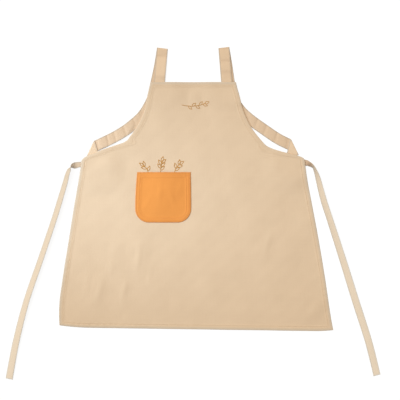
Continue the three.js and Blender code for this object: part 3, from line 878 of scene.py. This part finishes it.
def strap_rows(layout):
    """Rows along a strap: even steps on its runs and close ones round its creases and at its ends."""
    shoulder, waist = layout["crease_at"]
    _, back_start, tail_start = layout["starts"]
    marks = [(0, shoulder, STRIP_STEP), (shoulder, back_start, CREASE_STEP), (back_start, waist, STRIP_STEP),
             (waist, tail_start, CREASE_STEP), (tail_start, layout["end"], STRIP_STEP)]
    rows = [np.arange(start, stop - step / 2, step) for start, stop, step in marks]
    return np.unique(np.concatenate(rows + [END_STEPS, layout["end"] - END_STEPS]))


def tie_surface(route, stations, across):
    """Middle of a waist tie: a strip along a smooth path, bent to an arc across its width and
    rolled about the path, with its lower edge on the surface once it is out from behind the panel.
    Also gives the distances of its rows along the path."""
    route = np.array(route)
    index = np.broadcast_to(stations[:, None], (len(stations), len(across)))
    roll, bow, drawn_in = (np.interp(index, np.arange(len(route)), column) for column in route[:, 2:].T)
    roll, bow = np.radians(roll), np.radians(bow)
    bow = np.where(np.abs(bow) < FLAT_BOW, FLAT_BOW, bow)
    path = spline(route[:, :2], stations)
    distances = along_line(path)
    heading = unit(np.gradient(path, distances, axis=0))
    arc = TIE["width"] / 2 * drawn_in / bow
    aside = arc * np.sin(across * drawn_in / arc)
    hump = arc * (np.cos(across * drawn_in / arc) - np.cos(bow))
    low_edge_tilt = roll - bow * np.sign(np.sin(roll))
    rest = np.abs(arc * np.sin(bow) * np.sin(roll)) + TIE["thick"] / 2 * np.abs(np.cos(low_edge_tilt))
    tucked = (HIGH - LOW) * (1 - ease(index, *TIE_DOWN))
    outward = aside * np.cos(roll) + hump * np.sin(roll)
    up = aside * np.sin(roll) - hump * np.cos(roll)
    x = path[:, :1] + heading[:, 1:] * outward
    y = path[:, 1:] - heading[:, :1] * outward
    return np.stack([x, y, tucked + rest + up], -1), distances


def tie_stations(route):
    """Stations along a tie that are even steps apart on its path, closer together at its ends."""
    fine = np.linspace(0, len(route) - 1, TIE_POINTS)
    distances = along_line(spline(np.array(route)[:, :2], fine))
    margin = END_STEPS[-1] + STRIP_STEP / 2
    even = np.arange(margin, distances[-1] - margin, STRIP_STEP)
    wanted = np.unique(np.concatenate([END_STEPS, even, distances[-1] - END_STEPS]))
    return np.interp(wanted, distances, fine)


# Stitches

def stitch_shape():
    """One stitch of length 2, width 2 and height about 1: rings along it, each with its place, girth
    and lift, so that the thread rises out of the cloth and dips back, closed by flat ends."""
    angles = np.arange(STITCH_SIDES) * 2 * math.pi / STITCH_SIDES
    place, girth, lift = (column[:, None] for column in STITCH_RINGS.T)
    rings = np.broadcast_arrays(place, girth * np.cos(angles), lift + girth * np.sin(angles) / 2)
    points = np.stack(rings, -1).reshape(-1, 3)
    ids = np.arange(len(points)).reshape(len(STITCH_RINGS), STITCH_SIDES)
    sides = grid_quads(np.concatenate([ids, ids[:, :1]], axis=1))
    cap = np.array(STITCH_CAP)
    return points, np.concatenate([sides[:, ::-1], ids[0][cap], ids[-1][cap][:, ::-1]])


def make_stitches(name, lines, size, material):
    """Stitches along lines of points with normals: the stitch shape carried to even places along
    each line, turned to its heading and standing on its normal."""
    shape, shape_quads = stitch_shape()
    reach = size["length"] / 2
    points, quads, flats = [], [], []
    count_so_far = 0
    for line, normals in lines:
        distances = along_line(line)
        count = round(distances[-1] / size["pitch"])
        places = (np.arange(count) + 0.5) * distances[-1] / count
        middle, before, after = (at_distances(places + way * reach, distances, line) for way in (0, -1, 1))
        ahead = unit(after - before)
        aside = unit(np.cross(ahead, at_distances(places, distances, normals)))
        up = np.cross(aside, ahead)
        made = (middle[:, None] + ahead[:, None] * shape[:, :1] * reach
                + aside[:, None] * shape[:, 1:2] * size["width"] / 2
                + up[:, None] * shape[:, 2:] * size["height"])
        points.append(made.reshape(-1, 3))
        first = count_so_far + np.arange(count) * len(shape)
        quads.append((shape_quads[None] + first[:, None, None]).reshape(-1, 4))
        flat = np.broadcast_arrays(shape[None, :, 1] * size["width"],
                                   places[:, None] + shape[None, :, 0] * reach)
        flats.append(np.stack(flat, -1).reshape(-1, 2))
        count_so_far += count * len(shape)
    return quad_object(name, *(np.concatenate(parts) for parts in (points, quads, flats)), material)


# Embroidery

def leaf_line(foot, heading, leaf):
    """Outline of a leaf: out along its heading and back, as far aside as a sine of a power of the
    share of its length, which comes to a point at both ends."""
    out = np.linspace(0, 1, SPRIG["leaf_points"])
    share = np.concatenate([out, out[-2::-1]])
    side = np.concatenate([np.ones(len(out)), -np.ones(len(out) - 1)])
    aside = side * leaf["half"] * np.sin(math.pi * share ** SPRIG["fullest"])
    c, s = math.cos(heading), math.sin(heading)
    return np.stack([foot[0] + leaf["length"] * share * c - aside * s,
                     foot[1] + leaf["length"] * share * s + aside * c], -1)


def sprig_lines(start, end, sag, leaves, leaf):
    """A sprig in plan: a stem that is a parabola off the straight line between its ends, leaves on
    alternate sides of it that turn away from its heading, and one at its tip."""
    start, end = np.array(start), np.array(end)
    share = np.linspace(0, 1, SPRIG["stem_points"])[:, None]
    across = np.array([start[1] - end[1], end[0] - start[0]]) / np.linalg.norm(end - start)
    stem = start + (end - start) * share - 4 * sag * share * (1 - share) * across
    distances = along_line(stem)
    places = np.linspace(SPRIG["first_leaf"], SPRIG["last_leaf"], leaves - 1) * distances[-1]
    feet = at_distances(places, distances, stem)
    ahead = np.gradient(stem, axis=0)
    headings = np.interp(places, distances, np.unwrap(np.arctan2(ahead[:, 1], ahead[:, 0])))
    turns = np.radians(leaf["spread"]) * np.where(np.arange(leaves - 1) % 2, 1, -1)
    side_leaves = [leaf_line(foot, heading, leaf) for foot, heading in zip(feet, headings + turns)]
    return [stem, *side_leaves, leaf_line(stem[-1], math.atan2(*ahead[-1][::-1]), leaf)]


def pocket_sprig_lines():
    """Sprigs in plan that come up from under the pocket's mouth."""
    lines = []
    for foot, lean, height, leaves in POCKET_SPRIGS:
        start = (foot, POCKET["mouth"] - POCKET_STEM["under"])
        end = (foot + lean, POCKET["mouth"] + height - POCKET_LEAF["length"])
        lines += sprig_lines(start, end, -lean * POCKET_STEM["sag"], leaves, POCKET_LEAF)
    return lines


def on_panel(lines):
    """Lines in plan laid on the panel's front, with upright normals."""
    return [(np.column_stack([line, panel_front(*line.T)]), upright(len(line))) for line in lines]


# Materials

class Finish:
    """A material and its shader, which has a fixed sheen and a low gloss, with short calls for the
    nodes that the finishes share. A node's inputs take sockets or plain values."""

    def __init__(self, name, sheen):
        self.material = bpy.data.materials.new(name)
        self.material.use_nodes = True
        self.tree = self.material.node_tree
        self.shader = self.tree.nodes["Principled BSDF"]
        self.shade({"Specular IOR Level": GLOSS, "Sheen Weight": sheen, "Sheen Roughness": SHEEN_ROUGHNESS})

    def feed(self, node, inputs):
        """Links sockets to a node's inputs, and sets the inputs that are given as values."""
        for key, value in inputs.items():
            if isinstance(value, bpy.types.NodeSocket):
                self.tree.links.new(value, node.inputs[key])
            else:
                node.inputs[key].default_value = value

    def shade(self, inputs):
        """Inputs of the shader."""
        self.feed(self.shader, inputs)

    def add(self, kind, output, inputs, **settings):
        """An output of a new node with the given settings and inputs."""
        node = self.tree.nodes.new(f"ShaderNode{kind}")
        for key, value in settings.items():
            setattr(node, key, value)
        self.feed(node, inputs)
        return node.outputs[output]

    def maths(self, operation, *values):
        """The result of a sum or a function of numbers."""
        return self.add("Math", "Value", dict(enumerate(values)), operation=operation)

    def on_cloth(self, scale):
        """The flat-cloth map times a scale for each metre."""
        flat = self.add("UVMap", "UV", {}, uv_map=CLOTH_MAP)
        return self.add("VectorMath", "Vector", {0: flat, 1: scale}, operation="MULTIPLY")

    def turns_on_cloth(self, across, along):
        """Angles that go once round for each thread or ridge across and along the flat cloth."""
        turn = 2 * math.pi
        x = self.add("SeparateXYZ", "X", {"Vector": self.on_cloth((turn * across, turn * along, 0))})
        return x, x.node.outputs["Y"]

    def noise(self, vector, scale, **detail):
        """Noise from 0 to 1 and mostly near a half."""
        return self.add("TexNoise", "Fac", {"Vector": vector, "Scale": scale, **detail})

    def cloth_noise(self, scale, detail):
        """Noise on the flat cloth."""
        return self.noise(self.on_cloth(scale), 1, Detail=detail)

    def mixed(self, factor, dark, light, **settings):
        """A mix of two colours by a factor."""
        inputs = {"Factor": factor, "A": dark, "B": light}
        return self.add("Mix", "Result", inputs, data_type="RGBA", **settings)

    def tinted(self, colour, attribute, tint):
        """A colour times a tint, by the share that an attribute of the cloth holds."""
        share = self.add("Attribute", "Fac", {}, attribute_name=attribute)
        return self.mixed(share, colour, (*tint, 1), blend_type="MULTIPLY")

    def bumped(self, height, strength, depth):
        """The shader's normal, bent by a height."""
        inputs = {"Height": height, "Strength": strength, "Distance": depth}
        self.shade({"Normal": self.add("Bump", "Normal", inputs)})


def woven_cotton(name, dark, light, turn_and_shade, edge_shade):
    """Plain-weave cotton: the product of two sines gives threads that pass over and under each
    other; uneven threads along warp and weft and soft patches vary the colour, and the turned tint,
    which is partly painted shade, and the painted edge shade are tints of their own."""
    finish = Finish(name, WEAVE["sheen"])
    warp, weft = finish.turns_on_cloth(WEAVE["threads"], WEAVE["threads"])
    over_under = finish.maths("MULTIPLY", finish.maths("SINE", warp), finish.maths("SINE", weft))
    across, along = WEAVE["slub_across"], WEAVE["slub_along"]
    warp_slubs = finish.cloth_noise((across, along, 1), WEAVE["slub_detail"])
    weft_slubs = finish.cloth_noise((along, across, 1), WEAVE["slub_detail"])
    slubs = finish.maths("ADD", warp_slubs, weft_slubs)
    patches = finish.cloth_noise(WEAVE["patches"], WEAVE["patch_detail"])
    shade = finish.maths("ADD", finish.maths("MULTIPLY", slubs, WEAVE["slub_shade"]),
                        finish.maths("MULTIPLY", patches, WEAVE["patch_shade"]))
    colour = finish.mixed(shade, (*dark, 1), (*light, 1))
    # The turned tint, partly painted shade, and the painted edge shade, each by its attribute.
    for attribute, tint in ((TURN_AND_SHADE, turn_and_shade), (EDGE, edge_shade)):
        colour = finish.tinted(colour, attribute, tint)
    roughness = finish.add("MapRange", "Result", {
        "Value": patches, "To Min": WEAVE["smoothest"], "To Max": WEAVE["roughest"]})
    finish.shade({"Base Color": colour, "Roughness": roughness})
    height = finish.maths("ADD", over_under, finish.maths("MULTIPLY", slubs, WEAVE["slub_height"]))
    finish.bumped(height, WEAVE["bump"], WEAVE["depth"])
    return finish.material


def twisted_thread(name, dark, light):
    """Sewing thread: slanted ridges of its twist, a sine of the sum of two turns, with painted shade
    darkening the grooves between the plies."""
    finish = Finish(name, TWIST["sheen"])
    ply = finish.maths("SINE", finish.maths("ADD", *finish.turns_on_cloth(TWIST["across"], TWIST["along"])))
    zero_to_one = finish.maths("MULTIPLY_ADD", ply, 0.5, 0.5)
    colour = finish.mixed(zero_to_one, (*dark, 1), (*light, 1))
    finish.shade({"Base Color": colour, "Roughness": TWIST["roughness"]})
    finish.bumped(ply, TWIST["bump"], TWIST["depth"])
    return finish.material


def paper(name, tone, glow):
    """Matt grey paper with the faintest change of tone, which may glow as a light table does."""
    finish = Finish(name, sheen=0)
    clouds = finish.noise(finish.add("TexCoord", "Object", {}), PAPER["clouds"])
    dark, light = ((*[tone * share] * 3, 1) for share in (PAPER["darkest"], PAPER["lightest"]))
    finish.shade({"Base Color": finish.mixed(clouds, dark, light), "Roughness": PAPER["roughness"],
                  "Emission Color": (1, 1, 1, 1), "Emission Strength": glow})
    return finish.material


# Stage

def make_level(name, height, material):
    """A wide level square at a height."""
    corners = LEVEL_HALF * np.array([(-1, -1), (1, -1), (1, 1), (-1, 1)])
    points = np.column_stack([corners, np.full(4, height)])
    level = quad_object(name, points, np.array([[0, 1, 2, 3]]), corners, material)
    return level


def make_floor():
    """A floor just under the cloth, whose glow doesn't light the cloth, and dark ground under it."""
    floor = make_level("floor", FLOOR["height"], paper("pale_floor", FLOOR["tone"], FLOOR["glow"]))
    floor.visible_diffuse = False
    make_level("ground", GROUND["height"], paper("dark_ground", GROUND["tone"], GROUND["glow"]))


def make_lamp(name, kind, place, aim, settings):
    """A lamp with its settings that looks from its place to its aim."""
    data = bpy.data.lights.new(name, kind)
    for key, value in settings.items():
        setattr(data, key, value)
    lamp = bpy.data.objects.new(name, data)
    lamp.location = place
    away = np.subtract(aim, place)
    flat = math.hypot(away[0], away[1])
    lamp.rotation_euler = (math.atan2(flat, -away[2]), 0, math.atan2(away[1], away[0]) - math.pi / 2)
    bpy.context.scene.collection.objects.link(lamp)
    return lamp


def make_lights(lit_by_key):
    """The key light, which reaches the given pieces, the high light and the surround."""
    lamps = {name: make_lamp(name, **lamp) for name, lamp in LAMPS.items()}
    reached = bpy.data.collections.new("lit_by_key")
    for piece in lit_by_key:
        reached.objects.link(piece)
    lamps["key"].light_linking.receiver_collection = reached
    world = bpy.data.worlds.new("surround")
    world.use_nodes = True
    for key, value in SURROUND.items():
        world.node_tree.nodes["Background"].inputs[key].default_value = value
    bpy.context.scene.world = world


def make_camera():
    """The camera straight above, and plain display of its colours."""
    camera = bpy.data.cameras.new("camera")
    camera.lens = LENS
    camera.sensor_width = SENSOR
    above = bpy.data.objects.new("camera", camera)
    above.location = (*PICTURE_MIDDLE, PICTURE_SIDE * LENS / SENSOR)
    scene = bpy.context.scene
    scene.collection.objects.link(above)
    scene.camera = above
    scene.view_settings.view_transform = "Standard"


# The apron

def dress(piece, slot, *nodes):
    """A piece that rides with the apron and stands for its nodes; the slot is not used."""
    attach(piece, "root")
    if nodes:
        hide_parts(*nodes)
    return piece


def make_front(cotton, seam, embroidery):
    """The panel with its stitching and sprigs."""
    panel = dress(make_panel(cotton), "cotton", "panel")
    stitches = dress(make_stitches("panel_stitching", panel_seams(), SEAM, seam), "cotton")
    pocket_sprigs = dress(
        make_stitches("pocket_sprigs", on_panel(pocket_sprig_lines()), EMBROIDERY, embroidery),
        "pocket_cotton")
    bib_lines = sprig_lines(**BIB_SPRIG, leaf=BIB_LEAF)
    bib_sprig = dress(
        make_stitches("bib_sprig", on_panel(bib_lines), FINE_EMBROIDERY, embroidery), "pocket_cotton")
    on_it = [stitches, pocket_sprigs, bib_sprig]
    return panel, on_it


def make_sewn_pocket(cotton, seam):
    """The pocket on the panel, with its stitching."""
    pocket = dress(make_pocket(cotton), "pocket_cotton", "pocket")
    stitches = dress(make_stitches("pocket_stitching", pocket_seams(), SEAM, seam), "pocket_cotton")
    return [pocket, stitches]


def make_sewn_strip(size, side, surface, distances, across, turn_and_shade, cloth, seam):
    """A strap or tie that stands for its node, with the stitching at its edges."""
    name, node = size["name"], size["node"]
    strip = dress(make_strip(f"{name}_{side}", surface, distances, across, size, turn_and_shade, cloth),
                  "cotton", f"{node}_{side}")
    seams = strip_seams(surface, across, size)
    stitches = dress(make_stitches(f"{name}_stitching_{side}", seams, SEAM, seam), "cotton")
    return [strip, stitches]


def make_straps(cloth, seam):
    """Both shoulder straps, with the turned tint on their back runs and painted crease shade at places
    on their front runs.
    """
    across = strip_places(STRAP["width"])
    made = []
    for side, strap in STRAPS.items():
        layout = strap_layout(strap)
        rows = strap_rows(layout)
        surface = strap_surface(strap, layout, rows, across)
        shoulder, waist = layout["crease_at"]
        # Painted crease shade at places on the front run, and the turned tint on the back run.
        crease_shade = sum(share * bell(rows, at, half) for at, half, share in strap["crease_shade"])
        turn_and_shade = np.where((rows > shoulder) & (rows < waist), 1, np.minimum(crease_shade, 1))
        made += make_sewn_strip(STRAP, side, surface, rows, across, turn_and_shade, cloth, seam)
    return made


def make_ties(cloth, seam):
    """Both waist ties, deeper in tone on their first stretch, partly their other face and partly
    painted shade.
    """
    across = strip_places(TIE["width"])
    for side, route in TIES.items():
        surface, distances = tie_surface(route, tie_stations(route), across)
        # The first stretch takes the turned tint: partly the tie's other face, partly painted shade.
        deep_to, pale_from, depth = TIE_DEEP[side]
        turn_and_shade = depth * (1 - ease(distances, deep_to, pale_from))
        make_sewn_strip(TIE, side, surface, distances, across, turn_and_shade, cloth, seam)


def make_apron():
    """All pieces of the apron; gives the pieces that the key light reaches, which are all but the ties."""
    cottons = {name: woven_cotton(name, **shades) for name, shades in COTTONS.items()}
    threads = {name: twisted_thread(name, **shades) for name, shades in THREADS.items()}
    seam = threads["cotton_seam_thread"]
    panel, on_panel_front = make_front(cottons["natural_cotton"], seam, threads["amber_embroidery_thread"])
    pocket = make_sewn_pocket(cottons["orange_cotton"], threads["orange_seam_thread"])
    straps = make_straps(cottons["strap_cotton"], seam)
    make_ties(cottons["pale_cotton_tape"], seam)
    return [panel, *on_panel_front, *pocket, *straps]


make_lights(make_apron())
make_floor()
make_camera()
